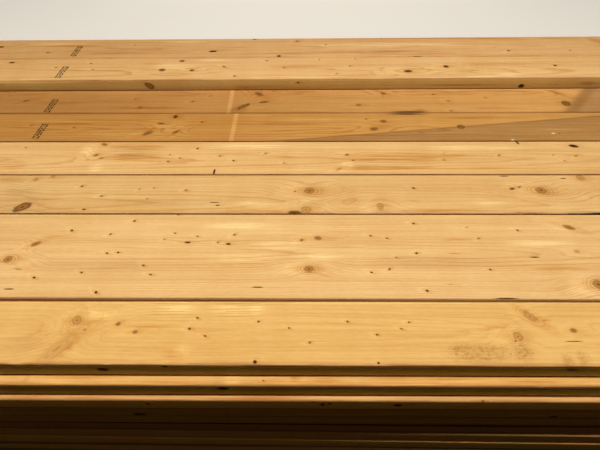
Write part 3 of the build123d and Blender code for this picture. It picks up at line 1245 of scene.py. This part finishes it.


# What each board that shows its top looks like. Its marks are placed by pixel in the photograph
# and sized in millimetres. Its bright washes are painted reflections of the lamps and painted
# highlights along eased edges, among paler bands of figure, and its grooves, shades, front tone
# and gap light paint light and shade.
TOP_LOOKS: dict[str, BoardLook] = {
    "tier_16_rear_board": BoardLook(
        (0.88, 0.80, 0.72), 70, -60,
        right_tone=(1.02, 0.95, 0.91),
        groove=(0.0, 1.0),
        open_back=True,
        spots=(
            *Mark.DARK_KNOT.at((1, 47, 22, 13), (419, 56.7, 40, 9, -6)),
            *Mark.BLACK_KNOT.at((213, 51.3, 30, 13, 6), (279, 56, 14, 13)),
        ),
        pins=Pin.at(
            (48, 52.5, 0.72, 10), (254.5, 39.3, 0.75, 12), (297, 41.2, 0.70, 12), (325.5, 44.5),
            (381, 38, 0.7, 9), (508.5, 50.7, 0.8, 11), (570, 50.2, 0.65), (590, 56.6, 0.65),
            (135, 45, 0.6),
        ),
        washes=(
            *Patch.RESIN.at(
                (515, 38.4, 620, 16), (440, 38.2, 500, 12), (420, 54, 420, 14), (330, 53, 700, 22),
                (130, 53.5, 500, 16), (400, 51.5, 420, 16), (80, 46, 240, 14),
            ),
            # A darker, mottled patch across the board's far right corner.
            *Patch.DIRT.at((598, 41, 40, 90, 50)),
            *Patch.SHADE.at((380, 50, 560, 30), (350, 38.8, 800, 16), (100, 52.5, 700, 22)),
            *Patch.SHEEN_AND_FIGURE.at((390, 44.8, 560, 30), (60, 44, 260, 24), (180, 42, 240, 16)),
        ),
        ink=Placed(76.5, 51, 76, 22, 88),
    ),
    "tier_16_front_board": BoardLook(
        (0.97, 0.93, 0.86), 40, -70,
        right_tone=(1.06, 1.03, 0.98),
        groove=(0.45, 0.25),
        front_tone=(0.75, 0.83, 0.70),
        foot_shade=0.35,
        open_front=True,
        wane=Wane(690.0, 0.012, -1),
        wane_tone=(0.92, 0.86, 0.78),
        spots=(
            *Mark.DARK_KNOT.at(
                (12, 62.6, 20, 11), (192, 70.3, 15, 12), (408, 71.2, 28, 16), (446, 66.4, 19, 16),
            ),
            *Mark.CASED_KNOT.at((162, 70, 21, 18), (182.2, 61, 17, 14)),
            *Mark.BLACK_KNOT.at((555, 65.4, 12, 9)),
            *Mark.SPLIT.at((95, 80.4, 26, 6), (321, 79.6, 44, 5)),
            *Mark.CASED_KNOT.at((149.5, 86, 32, 19, -28), on_front=True),
            *Mark.DARK_KNOT.at((298, 82.9, 9, 6), on_front=True),
            *Mark.BLACK_KNOT.at((521.5, 86.5, 20, 14), on_front=True),
            *Mark.FAINT_KNOT.at((588, 84, 70, 14), (246, 88, 90, 10), (458, 85.5, 260, 7), on_front=True),
        ),
        pins=Pin.at(
            (56, 67.4, 0.72, 8), (91, 63.3, 0.7, 8), (92.5, 69.5, 0.6, 8), (224, 66.7, 0.75, 11),
            (234.5, 76, 0.72, 10), (266.5, 60.5, 0.75, 9), (284, 67.8, 0.65, 10), (319, 59.3, 0.7, 6),
            (336.5, 73.7, 0.55, 8), (350, 66, 0.5, 8), (355, 59, 0.5, 6),
        ),
        washes=(
            *Patch.SHEEN_AND_FIGURE.at(
                (480, 76.3, 130, 16), (290, 77.2, 330, 16), (30, 79.5, 240, 16), (175, 66, 150, 60),
                (508, 74.8, 90, 30), (523, 56.4, 300, 10), (215, 60, 120, 20),
            ),
            *Patch.DIRT.at((575, 84, 190, 90)),
            *Patch.RESIN.at((300, 66.5, 200, 18), (500, 64, 260, 12), (150, 64, 120, 10)),
        ),
        ink=Placed(61.5, 72, 76, 22, 88),
    ),
    "tier_15_board_6": BoardLook(
        (0.87, 0.85, 0.78), 110, -40,
        right_tone=(1.30, 1.42, 1.47),
        groove=(0.40, 1.0),
        stained=True,
        spots=(
            *Mark.SMOKY_KNOT.at(
                (26, 101, 22, 11, 25), (259, 94, 36, 22, -40), (383, 93.3, 20, 14, -30),
                (140, 107.5, 14, 13, 20),
            ),
            *Mark.CASED_KNOT.at((243.5, 106.3, 46, 15, 40), (264, 102, 30, 11, 12), (566, 103.3, 26, 28)),
            *Mark.SOUND_KNOT.at((358.5, 105, 19, 13)),
            *Mark.FAINT_KNOT.at((557, 93, 58, 12, -36)),
        ),
        pins=Pin.at(
            (135.5, 99, 0.66, 9), (192.5, 101.5, 0.66, 10), (433, 94.4, 0.66, 11), (448, 101, 0.5, 9),
            (451, 110.8, 0.75, 10), (485, 97.6, 0.62, 8), (9, 96, 0.5, 7), (210, 96, 0.5, 7),
        ),
        washes=(
            *Patch.DIRT.at((238, 109, 70, 50, 20)),
            *Patch.STAIN.at((410, 111.6, 120, 18), (419, 111, 40, 20)),
            *Patch.RESIN.at(
                (120, 101.5, 300, 12), (60, 103, 200, 16), (150, 108, 300, 14), (500, 108, 220, 12),
            ),
            *Patch.SHADE.at((340, 98, 300, 40), (571, 103, 90, 90)),
            *Patch.SHEEN_AND_FIGURE.at((320, 110, 300, 8)),
        ),
        ink=Placed(51, 105.5, 76, 22, 88),
        stripe=Line(232.8, 90, 228.4, 114),
        water_line=Line(562, 113, 580, 90, 5.0),
    ),
    "tier_15_board_5": BoardLook(
        (0.98, 0.97, 0.78), 60, 90,
        right_tone=(1.20, 1.26, 1.12),
        groove=(1.0, 0.45),
        back_shade=0.15,
        stained=True,
        spots=(
            *Mark.SMOKY_KNOT.at(
                (161, 123.5, 23, 12), (148, 133, 34, 18, 38), (176, 132, 26, 12, 42),
                (383.5, 121.3, 22, 16), (374, 129, 26, 18, 15),
            ),
            *Mark.DARK_KNOT.at((175.5, 116.8, 15, 18)),
            *Mark.CASED_KNOT.at((461, 126.8, 22, 20)),
            *Mark.CHIP.at((512.5, 139.6, 9, 5), (553.5, 133.3, 12, 6)),
            *Mark.SPLIT.at((559, 133.3, 7, 4)),
            *Mark.FAINT_KNOT.at((270, 124, 60, 10)),
        ),
        pins=Pin.at(
            (31.5, 125, 0.6, 9), (74, 127.6, 0.6, 9), (202, 122, 0.75, 8), (366, 119, 0.5, 7),
            (420, 132.5, 0.45, 9),
        ),
        washes=(
            *Patch.STAIN.at((405, 114, 150, 16)),
            *Patch.RESIN.at(
                (70, 124, 200, 14), (290, 124, 300, 14), (480, 118, 300, 12), (100, 120, 300, 10),
                (130, 129, 380, 10), (330, 132, 260, 10),
            ),
            *Patch.SHEEN_AND_FIGURE.at(
                (255, 115.6, 110, 8), (170, 126, 110, 60), (60, 121, 240, 14), (120, 134, 260, 12),
                (310, 120, 260, 10), (560, 129, 140, 10),
            ),
            *Patch.SHADE.at(
                (70, 139, 300, 18), (200, 139, 320, 12), (520, 137, 220, 14), (500, 131, 120, 8),
            ),
        ),
        ink=Placed(40, 131, 76, 22, 88),
        stripe=Line(236.2, 115, 231, 141),
        water_line=Line(300, 138.5, 600, 115.3),
    ),
    "tier_15_board_4": BoardLook(
        (0.95, 0.93, 0.85), 60, -50,
        spots=(
            *Mark.SOUND_KNOT.at(
                (104.5, 144.5, 12, 20, 60), (96, 155.2, 13, 11, 20), (101, 158.3, 16, 8, 20),
                (347, 154.9, 12, 10),
            ),
            *Mark.SPLIT.at((214.3, 171.8, 6, 22), (517.3, 142.6, 7, 16, 20)),
            *Mark.FAINT_KNOT.at((339, 169, 18, 8, 35)),
            *Mark.BLACK_KNOT.at((573.5, 146, 26, 14, -10)),
        ),
        pins=Pin.at(
            (25.6, 147.4, 0.6), (168, 161.5), (170, 154.7, 0.6), (180, 158, 0.55), (197.5, 148.5, 0.85, 8),
            (233.5, 160.6, 0.85, 8), (220, 156, 0.5, 9), (265.5, 153.5, 0.5, 8), (284, 163, 0.55),
            (353, 160.3, 0.75), (443.5, 153.4, 0.65, 9), (444, 160, 0.5, 9), (499, 155.3, 0.65, 8),
            (553, 155, 0.55), (564.5, 160.8, 0.55), (576, 156, 0.5),
        ),
        washes=(
            *Patch.RESIN.at(
                (136, 147, 170, 34), (134, 157.5, 190, 40), (400, 158, 330, 44), (455, 155.5, 120, 9),
                (12, 165, 90, 36), (430, 168, 500, 14), (240, 153.5, 140, 7), (375, 168, 220, 24),
                (280, 157.5, 120, 7),
            ),
            *Patch.SHEEN_AND_FIGURE.at(
                (88, 150, 50, 60), (96, 168, 40, 40), (347, 165, 40, 44), (250, 146, 260, 30),
                (480, 148, 300, 30),
            ),
            *Patch.SHADE.at((133, 152, 150, 60)),
        ),
        ripples=(Ripples(134, 153, 150, 62, count=6), Ripples(400, 158, 200, 50, count=4)),
    ),
    "tier_15_board_3": BoardLook(
        (0.86, 0.85, 0.76), 40, -45,
        right_tone=(0.90, 0.87, 0.79),
        figure=0.75,
        wane=Wane(1800.0, 0.022, 1),
        wane_tone=(0.34, 0.36, 0.32),
        spots=(
            *Mark.CASED_KNOT.at((22.5, 207, 46, 27, 36)),
            *Mark.FAINT_KNOT.at((36, 179.5, 16, 14, 50), (53, 176.8, 16, 12), (519, 213, 24, 8)),
            *Mark.SPLIT.at((214.5, 202.5, 26, 3.2), (504, 176.2, 26, 3.2), (563, 178.4, 15, 3.2)),
            *Mark.DARK_KNOT.at((217.5, 205.2, 10, 4), (294.5, 213.8, 38, 22)),
            *Mark.EYED_KNOT.at((306, 209.8, 26, 24, 30), (380.5, 206.5, 17, 24), (580.4, 178, 20, 21)),
            *Mark.RINGED_KNOT.at((309.5, 190.7, 27, 23), (541, 190.3, 29, 24, -8)),
            *Mark.PITCH.at((512.3, 188.7, 17, 9, 12), (519.5, 187, 13, 5, 22)),
        ),
        pins=Pin.at(
            (82, 186.3, 0.78, 8), (101.5, 196, 0.76, 8), (84, 209.4, 0.82, 9), (139.5, 189.2, 0.66, 6),
            (154, 188, 0.66, 6), (147, 198.7, 0.6, 6), (186, 190.3, 0.7), (295, 191.5, 0.66, 6),
            (413.5, 188.2, 0.8, 9), (581.4, 178.3, 0.9, 7), (380.5, 206.3, 0.85, 7),
        ),
        washes=(
            *Patch.SHEEN_AND_FIGURE.at((258, 203.5, 130, 26), (490, 203, 110, 16), (310, 200, 70, 14)),
            *Patch.RESIN.at((12, 180, 110, 16), (450, 211, 260, 12), (260, 211, 160, 8)),
            *Patch.SHADE.at(
                (22, 190, 90, 40), (170, 203, 320, 30), (16, 196, 130, 110), (40, 209, 200, 20),
            ),
            *Patch.STAIN.at((587, 212.8, 110, 11)),
            *Patch.DIRT.at((535, 213.2, 90, 7)),
        ),
    ),
    "tier_15_board_2": BoardLook(
        (0.93, 0.93, 0.88), 118, 95,
        groove=(-0.10, 1.0),
        front_shade=0.0,
        gap_light=2.2,
        figure=0.66,
        spots=(
            *Mark.SOUND_KNOT.at((36, 243.8, 24, 12, 34), (318, 238, 18, 13), (569, 227.5, 29, 13, -24)),
            *Mark.RINGED_KNOT.at((8, 259.3, 21, 18), (309, 269, 21, 17), (598.5, 284.5, 22, 24)),
            *Mark.DARK_KNOT.at((187.5, 242.4, 14, 6), (228.5, 244, 12, 7)),
            *Mark.FAINT_KNOT.at(
                (577, 251.5, 14, 10), (454.5, 253.4, 27, 3.0), (450, 284.2, 12, 2.5),
                (18, 269, 22, 5, -12),
            ),
            *Mark.SPLIT.at(
                (8.5, 289, 22, 3.2), (257.5, 287.2, 25, 3.2), (534.5, 257.2, 25, 3.2),
                (506.5, 298.3, 48, 2.6),
            ),
        ),
        pins=Pin.at(
            (72, 230.5, 0.76, 8), (110.5, 234.2), (134.5, 221, 0.78, 8), (178, 214.5, 0.82),
            (34, 277.5, 0.76, 8), (81.5, 272.5, 0.74), (107, 253.2, 0.78), (118, 252.5, 0.76),
            (96, 292.3, 0.82, 8), (143.5, 265.4, 0.74), (150.5, 274.5, 0.72), (164.5, 239.3, 0.6, 6),
            (175, 233.2, 0.7), (197.5, 236.3, 0.6, 6), (218, 242.4, 0.66, 6), (234.5, 234.7, 0.6),
            (301.5, 240.1, 0.64, 8), (370.5, 235.8, 0.78), (387, 238.2, 0.74, 6), (396.5, 257.5, 0.6, 6),
            (389.5, 269.2, 0.74), (371.5, 272.4, 0.78), (416.5, 253.2, 0.86, 8), (427, 290.8, 0.85, 7),
            (413.5, 223.5, 0.7, 8), (466.5, 227.3, 0.5, 6), (478.5, 238.5, 0.7, 6), (490.3, 269.6, 0.7),
            (517.5, 230.3, 0.74, 7), (578, 252.3, 0.7, 7), (598.5, 284.5, 0.75, 7),
            (569.5, 227.8, 0.72, 8), (310, 268.6, 0.75, 6),
        ),
        washes=(
            *Patch.SHEEN_AND_FIGURE.at(
                (278, 245, 160, 22), (243, 258.5, 150, 28), (540, 243, 150, 22), (240, 226, 170, 26),
                (320, 256, 130, 26),
            ),
            *Patch.RESIN.at((460, 239.5, 80, 10), (562, 269, 130, 10), (60, 237, 100, 9)),
            *Patch.SHADE.at((100, 265, 320, 40), (440, 262, 330, 40)),
        ),
    ),
    "tier_15_board_1": BoardLook(
        (0.91, 0.86, 0.64), 70, -40,
        groove=(0.90, 1.02),
        front_shade=0.6,
        back_shade=0.95,
        figure=0.28,
        front_tone=(0.85, 1.09, 1.15),
        foot_shade=0.30,
        open_front=True,
        spots=(
            *Mark.EYED_KNOT.at((77, 320.3, 19, 21, 20), (530, 316.5, 27, 15, -45), (518, 336.5, 18, 20)),
            *Mark.FAINT_KNOT.at((84.5, 330, 10, 9)),
            *Mark.SPIKE_KNOT.at((57, 348.5, 82, 25, 49)),
            *Mark.SOUND_KNOT.at((118.3, 324, 11, 9, 35), (135, 332, 10, 8, 10), (573.5, 330.5, 13, 11)),
            *Mark.SPLIT.at((574, 341.4, 34, 2.0)),
            *Mark.BLACK_KNOT.at((255, 362, 7, 8, 60), (378.5, 363, 5, 5)),
            *Mark.FLECK.at((107.5, 364, 16, 2.5)),
            *Mark.BLACK_KNOT.at(
                (103, 369.5, 22, 12), (165, 366.6, 12, 5), (572, 370, 24, 7),
                on_front=True,
            ),
        ),
        pins=Pin.at(
            (77.8, 320.9, 0.6, 5), (66, 342.5, 0.75, 5), (197.5, 317.8, 0.7, 8), (189.5, 328.8, 0.62, 8),
            (205, 336, 0.62, 7), (258.5, 321.6, 0.66, 7), (289, 328, 0.72, 6), (309.7, 342.5, 0.66, 6),
            (347.5, 321.6, 0.72, 6), (377, 334.7, 0.66, 6), (401.5, 328.8, 0.6, 6), (409, 322.3, 0.66, 6),
            (530.5, 317, 0.82, 4), (515.8, 341, 0.7, 5),
        ),
        washes=(
            *Patch.SHEEN_AND_FIGURE.at(
                (178, 309, 90, 34), (235, 309, 130, 34), (257, 309, 30, 26), (100, 315, 70, 34),
                (180, 352, 40, 40, 60), (300, 302.5, 2600, 5),
            ),
            *Patch.RESIN.at(
                (66, 349, 70, 12, 55), (472, 330.5, 60, 5, 3), (496, 327.8, 60, 8, 4),
                (523, 311, 30, 8, -50), (543, 319.5, 40, 8, -15), (150, 326, 90, 10),
                (174, 357, 34, 44, 70),
            ),
            *Patch.DIRT.at(
                (480, 353.5, 130, 44), (523, 351, 44, 50), (568, 361, 20, 30), (583, 359, 20, 34),
                (462, 350, 60, 30),
            ),
            *Patch.SHADE.at((20, 345, 90, 50), (520, 325, 22, 24)),
        ),
        specks=(
            Specks(482, 353, 112, 34, count=26), Specks(523, 349, 34, 36, count=12),
            Specks(578, 360, 44, 20, count=8), Specks(510, 340, 20, 30, count=5),
        ),
        ripples=(Ripples(176, 309, 80, 30, count=5), Ripples(234, 310, 100, 34, count=6)),
    ),
    "tier_15_board_7": BoardLook((0.98, 0.92, 0.84), 80, -40),
    "tier_15_board_8": BoardLook((0.97, 0.92, 0.84), 30, 80, open_back=True),
}


@dataclass(frozen=True)
class FrontLook:
    """How a lower tier's front shows: its tone, top edge's groove, foot's contact, and marks."""

    # The tone paints the light and shade that the front gets; the groove paints shade on its top front
    # edge, or a highlight under 0, and the contact shade paints shade on its foot.
    tone: tuple[float, float, float] = (0.88, 0.82, 0.60)
    groove: float = 0.6
    contact_shade: float = 0.8
    spots: tuple[Spot, ...] = ()
    pins: tuple[Pin, ...] = ()
    washes: tuple[Wash, ...] = ()


# Each lower tier's front tone paints the light and shade that its front gets, brighter or darker tier by
# tier, and a groove under 0 paints a highlight on its top front edge.
FRONT_LOOKS: dict[str, FrontLook] = {
    "tier_14": FrontLook(
        (1.02, 1.34, 1.18), 0.7, 1.0,
        spots=(
            *Mark.BLACK_KNOT.at((223, 389, 26, 12), on_front=True),
            *Mark.FLECK.at(
                (355, 388.2, 8, 2.2), (419, 388.2, 12, 2.2), (481, 388.3, 8, 2.2), (541, 388.4, 11, 2.2),
                (234, 388, 20, 2.2), (122, 387.8, 10, 2.2),
                on_front=True,
            ),
            *Mark.STREAK.at((26, 379.5, 12, 26, -20)),
        ),
        pins=Pin.at((263.4, 380.6, 0.70, 4)),
        washes=(
            *Patch.SHADE.at((219, 380, 30, 30), (14, 380, 50, 40)),
            *Patch.SHEEN_AND_FIGURE.at((232, 380, 40, 30), (60, 382, 120, 8), (480, 380.5, 160, 7)),
            *Patch.RESIN.at(
                (295, 378, 18, 26, 60), (324, 380, 80, 9), (270, 381.5, 60, 7), (80, 378.5, 200, 8),
                (150, 382, 220, 7), (430, 379, 260, 8), (520, 382, 200, 7),
            ),
        ),
    ),
    "tier_13": FrontLook(
        (1.92, 1.88, 1.62), 0.2, 0.8,
        spots=(
            *Mark.BLACK_KNOT.at((398, 405.3, 18, 10), (322.5, 404.6, 7, 13), on_front=True),
            *Mark.DARK_KNOT.at((148, 404, 10, 6), (329.5, 403.6, 7, 7), on_front=True),
            *Mark.FLECK.at((540, 403.6, 80, 2.0), (372, 402.4, 56, 2.2), on_front=True),
            *Mark.STREAK.at((491, 398.5, 3, 12)),
            *Mark.DARK_KNOT.at((483, 401.2, 5, 4)),
            *Mark.FLECK.at((491, 401, 5, 4)),
        ),
        washes=(
            *Patch.RESIN.at((70, 397, 220, 7), (250, 398, 200, 6), (560, 398, 160, 6)),
            *Patch.SHEEN_AND_FIGURE.at((350, 396.5, 260, 6)),
        ),
    ),
    "tier_12": FrontLook(
        (1.02, 0.94, 0.54), 0.0, 0.2,
        spots=(
            *Mark.BLACK_KNOT.at((139.7, 414.2, 30, 9), (553, 417, 20, 8), on_front=True),
        ),
    ),
    "tier_11": FrontLook((0.96, 0.88, 0.62), 0.3, 1.0),
    "tier_10": FrontLook((0.66, 0.51, 0.88), 1.0, 1.0),
    "tier_09": FrontLook((0.92, 0.86, 1.02), -0.5, 0.8),
    "tier_08": FrontLook((1.22, 1.30, 1.50), -2.2, 0.8),
    "tier_07": FrontLook((1.08, 1.05, 1.20), 0.4, 0.8),
}


@dataclass
class LumberStack:
    """The whole stack: the boards that show their tops one by one, and the lower tiers whole."""

    camera: PhotoCamera
    # The grades of stock: the length and width of a cell of the mesh, and its layers.
    fine: tuple[str, tuple[float, float], int] = ("fine", (10 * MM, 5 * MM), 4)
    coarse: tuple[str, tuple[float, float], int] = ("coarse", (40 * MM, 40 * MM), 2)
    eased_edge: float = 3 * MM
    smooth_under: float = 35.0
    # How much painted shade darkens a lower tier's top front edge where it shows well, and its
    # foot.
    front_shade: float = 0.35
    foot_shade: float = 0.25
    seed: int = 4
    body: str = "root"
    stocks: dict[tuple[int, bool], BoardStock] = field(default_factory=dict)

    def build(self) -> None:
        """Makes every board from its stock and lays it in its place."""
        self.slots = {part["node"]: part["material_slot"] for part in frame["record"]["subparts"]}
        # Planing leaves fresh spruce pale and dull. Age deepens it, and on the lower tiers the deeper
        # colour also paints part of the shade they lie in. Water and dust brown it, and a sawn end is
        # rough, so it looks darker.
        planed = WoodColours("F2C383", "CC8842", 0.72)
        aged_shaded_colours = WoodColours("E9B272", "BC7C3A", 0.66)
        dark = WoodColours("CB9151", "985F28", 0.70)
        self.planed = SpruceFinish("planed_spruce", planed)
        self.sawn = SpruceFinish("sawn_spruce_end", planed, sawn_end=True)
        self.stained = SpruceFinish("water_stained_spruce", dark, stained=True)
        self.stained_sawn = SpruceFinish("stained_sawn_spruce_end", dark, sawn_end=True)
        self.aged_shaded = SpruceFinish("aged_spruce", aged_shaded_colours)
        self._build_top()
        self._build_tiers()
        for stock in self.stocks.values():
            stock.clear()

    def _stock(self, place: BoardPlace, fine: bool) -> BoardStock:
        """Finds the stock that a board is cut from, modelled when its width first comes up.

        Args:
            place: the board's place and size.
            fine: whether the board shows well, so that it takes the fine mesh.

        Returns:
            The stock.
        """
        key = (round(place.width * 1000), fine)
        if key not in self.stocks:
            grade, cell, layers = self.fine if fine else self.coarse
            self.stocks[key] = BoardStock(
                f"stock_{key[0]}_{grade}", place.length, place.width, place.thickness,
                self.eased_edge, cell, layers,
            )
        return self.stocks[key]

    def _build_top(self) -> None:
        """Makes the boards that the photograph shows from above, each a piece of its own."""
        for seed, (node, look) in enumerate(TOP_LOOKS.items()):
            place = places_in(node)[0]
            board = self._stock(place, True).cut_copy(f"{node}_spruce")
            faces = self.stained if look.stained else self.planed
            ends = self.stained_sawn if look.stained else self.sawn
            BoardDresser(self.camera, board, place, look, seed).dress(faces, ends)
            self._finish(board, node)

    def _build_tiers(self) -> None:
        """Makes each lower tier as one piece of eight boards."""
        draw = random.Random(self.seed)
        for node in sorted(node for node in frame["nodes"] if node not in TOP_LOOKS):
            boards = []
            front = FRONT_LOOKS.get(node, FrontLook())
            places = places_in(node)
            for number, place in enumerate(places):
                shade = draw.uniform(0.88, 1.04)
                shown = front if number == 0 else FrontLook()
                fine = bool(shown.washes)
                look = BoardLook(
                    (shade, shade * draw.uniform(0.97, 1.01), shade * draw.uniform(0.74, 0.84)),
                    draw.uniform(20, place.width / MM - 20),
                    draw.choice((-1, 1)) * draw.uniform(30, 90),
                    spots=shown.spots,
                    pins=shown.pins,
                    washes=shown.washes,
                    groove=(front.groove, 1.0),
                    contact_shade=front.contact_shade,
                    front_tone=front.tone,
                    front_shade=self.front_shade if fine else 0.0,
                    foot_shade=self.foot_shade,
                    open_front=number == 0,
                    open_back=number == len(places) - 1,
                )
                board = self._stock(place, fine).cut_copy(f"{node}_board_{number + 1}")
                dresser = BoardDresser(self.camera, board, place, look, draw.randrange(10**6))
                dresser.dress(self.aged_shaded, self.sawn)
                boards.append(board)
            self._finish(self._join(boards, f"{node}_spruce"), node)

    def _join(self, boards: list[bpy.types.Object], name: str) -> bpy.types.Object:
        """Joins a tier's boards into one piece.

        Args:
            boards: the boards, each where it lies.
            name: the piece's name.

        Returns:
            The joined piece.
        """
        bpy.ops.object.select_all(action="DESELECT")
        for board in boards:
            board.select_set(True)
        bpy.context.view_layer.objects.active = boards[0]
        bpy.ops.object.join()
        boards[0].name = boards[0].data.name = name
        return boards[0]

    def _finish(self, piece: bpy.types.Object, node: str) -> None:
        """Smooths a piece, hangs it from the body, and hides the node that it stands for.

        Args:
            piece: the piece.
            node: the CAD node.
        """
        bpy.ops.object.select_all(action="DESELECT")
        piece.select_set(True)
        bpy.context.view_layer.objects.active = piece
        bpy.ops.object.shade_smooth_by_angle(angle=math.radians(self.smooth_under))
        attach(piece, self.body)
        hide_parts(node)
        LOG.info("laid %s, %d faces", piece.name, len(piece.data.polygons))


@dataclass(frozen=True)
class SoftLight:
    """An area light: where it hangs, where it points, its size and its power."""

    name: str
    place: tuple[float, float, float]
    aim: tuple[float, float, float]
    size: tuple[float, float]
    energy: float
    colour: tuple[float, float, float] = (1.0, 0.965, 0.90)

    def build(self) -> None:
        """Hangs the light."""
        data = bpy.data.lights.new(self.name, "AREA")
        data.shape = "RECTANGLE"
        data.size, data.size_y = self.size
        data.energy = self.energy
        data.color = self.colour
        light = bpy.data.objects.new(self.name, data)
        light.location = self.place
        light.rotation_mode = "QUATERNION"
        ray = Vector(self.aim) - Vector(self.place)
        light.rotation_quaternion = ray.to_track_quat("-Z", "Y")
        light.visible_camera = False
        bpy.context.scene.collection.objects.link(light)


@dataclass(frozen=True)
class Studio:
    """A plain pale floor and soft light from above, just behind the fronts, which it shades."""

    floor_size: float = 40.0
    floor_glow: float = 0.60
    glow_colour: str = "F4ECDF"
    # What the floor and the sky throw on the stack, and then what the camera sees of them.
    floor_colours: tuple[str, str] = ("40371A", "CFC9BE")
    sky_strengths: tuple[float, float] = (0.016, 0.62)
    sky_colours: tuple[tuple[float, ...], ...] = ((1.0, 0.69, 0.15, 1.0), (1.0, 0.99, 0.97, 1.0))
    lights: tuple[SoftLight, ...] = (
        SoftLight("overhead_light", (0.0, -0.493, 3.0), (0.0, -0.492, 0.0), (4.0, 0.15), 83.5),
        SoftLight("back_light", (0.0, 3.6, 1.1), (0.0, 0.6, 0.3), (3.0, 0.8), 14.0),
        SoftLight("left_light", (-3.8, 0.5, 1.1), (-1.2, 0.0, 0.3), (0.8, 1.6), 8.0),
        SoftLight("right_light", (3.8, 0.5, 1.1), (1.2, 0.0, 0.3), (0.8, 1.6), 8.0),
    )

    def build(self) -> None:
        """Makes the floor, the lights and the pale surroundings."""
        self._lay_floor()
        for light in self.lights:
            light.build()
        self._set_world()
        bpy.context.scene.view_settings.view_transform = "Standard"

    def _lay_floor(self) -> None:
        """Lays the floor, which looks pale and throws little light back up."""
        bpy.ops.object.select_all(action="DESELECT")
        bpy.ops.mesh.primitive_plane_add(size=self.floor_size, location=(0.0, 0.0, 0.0))
        floor = bpy.context.active_object
        floor.name = "studio_floor"
        material = bpy.data.materials.new("studio_floor")
        material.use_nodes = True
        tree = material.node_tree
        seen = add_node(tree, "LightPath").outputs["Is Camera Ray"]
        thrown, shown = (linear(colour) for colour in self.floor_colours)
        base = add_node(tree, "Mix", {0: seen, 6: thrown, 7: shown}, data_type="RGBA")
        glow = add_node(tree, "Math", {0: seen, 1: self.floor_glow}, operation="MULTIPLY")
        shader = tree.nodes["Principled BSDF"]
        tree.links.new(base.outputs[2], shader.inputs["Base Color"])
        tree.links.new(glow.outputs[0], shader.inputs["Emission Strength"])
        shader.inputs["Emission Color"].default_value = linear(self.glow_colour)
        shader.inputs["Roughness"].default_value = 0.9
        floor.data.materials.append(material)

    def _set_world(self) -> None:
        """Surrounds the scene with even, dim, warm light that the camera sees as pale grey."""
        world = bpy.data.worlds.new("studio_world")
        bpy.context.scene.world = world
        world.use_nodes = True
        tree = world.node_tree
        seen = add_node(tree, "LightPath").outputs["Is Camera Ray"]
        thrown, shown = self.sky_strengths
        strength = add_node(tree, "MapRange", {0: seen, 1: 0.0, 2: 1.0, 3: thrown, 4: shown})
        thrown, shown = self.sky_colours
        colour = add_node(tree, "Mix", {0: seen, 6: thrown, 7: shown}, data_type="RGBA")
        background = tree.nodes["Background"]
        tree.links.new(colour.outputs[2], background.inputs["Color"])
        tree.links.new(strength.outputs[0], background.inputs["Strength"])


def main() -> None:
    """Builds the camera, the stack and the studio."""
    logging.basicConfig(level=logging.INFO, format="%(message)s")
    camera = PhotoCamera()
    camera.build()
    LumberStack(camera).build()
    Studio().build()


if __name__ == "__main__":
    main()
